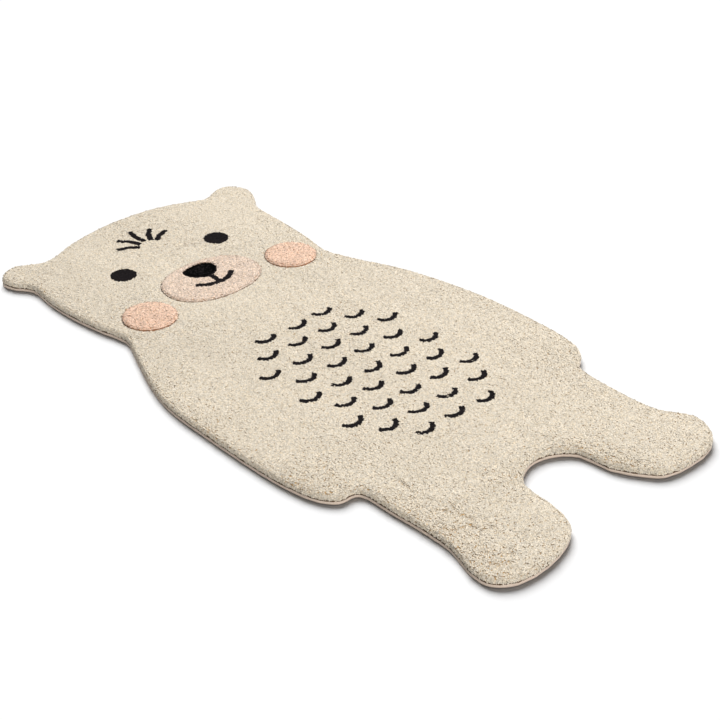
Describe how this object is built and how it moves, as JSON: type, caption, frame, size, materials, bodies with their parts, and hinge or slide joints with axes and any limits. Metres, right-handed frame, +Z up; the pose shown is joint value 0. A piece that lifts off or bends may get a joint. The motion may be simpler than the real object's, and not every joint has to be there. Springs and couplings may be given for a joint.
{
  "type": "animal shaped kids rug",
  "caption": "Flat cut-pile rug in the outline of a bear, with raised muzzle, nose and cheeks over a hemmed backing cloth.",
  "frame": {"origin": "middle of the rug's outer box, on the floor under it", "axes": "+Z up out of the pile, +Y towards the head, +X to the right as seen from above with the head at the top"},
  "size_m": [0.6, 1.2, 0.0215],
  "materials": {
    "backing_cotton": "plain cotton canvas with a turned hem",
    "cream_yarn": "cut pile, undyed cream cotton",
    "blush_yarn": "cut pile, pale blush",
    "peach_yarn": "cut pile, soft peach",
    "black_yarn": "cut pile, near black"
  },
  "bodies": {
    "root": {"backing_cloth": "backing_cotton", "body_pile": "cream_yarn", "cheek_pile_left": "peach_yarn", "cheek_pile_right": "peach_yarn", "muzzle_pile": "blush_yarn", "nose_pile": "black_yarn"}
  },
  "joints": []
}
